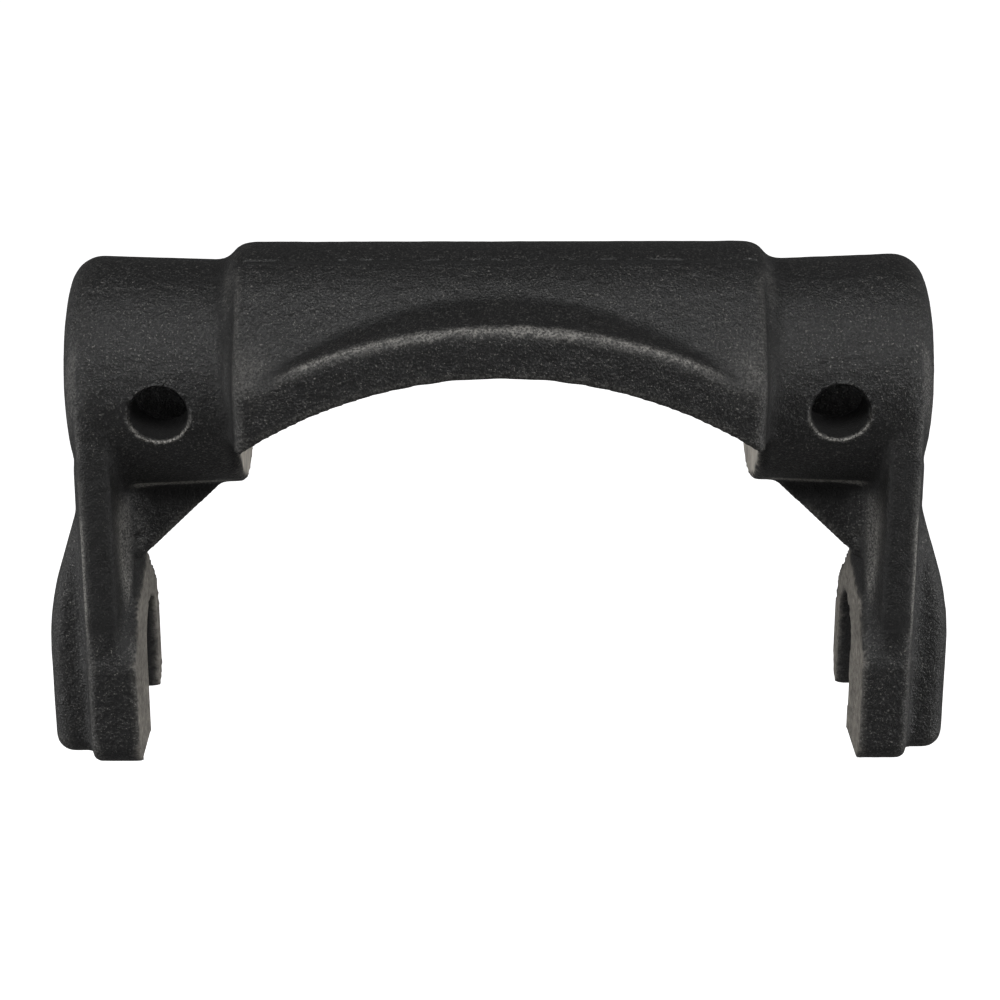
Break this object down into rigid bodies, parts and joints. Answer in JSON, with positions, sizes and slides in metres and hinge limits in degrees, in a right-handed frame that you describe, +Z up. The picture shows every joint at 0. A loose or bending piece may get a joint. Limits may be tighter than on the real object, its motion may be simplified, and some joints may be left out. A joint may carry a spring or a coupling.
{
  "type": "clutch shift fork",
  "caption": "Cast iron clutch shift fork: an arched bridge between bored bosses, with a leg below each that ends in an open slotted hook.",
  "frame": {"origin": "on the axis of the shaft bore, halfway between the outer ends of the two bosses", "axes": "+X along the shaft bore, -Y out of the arched front face, +Z up from the hooks to the bridge"},
  "size_m": [0.1872, 0.0568, 0.1062],
  "materials": {
    "cast_iron": "as cast with a black phosphate coat; pads and boss faces machined bare"
  },
  "bodies": {
    "root": {"shift_fork": "cast_iron"}
  },
  "joints": []
}
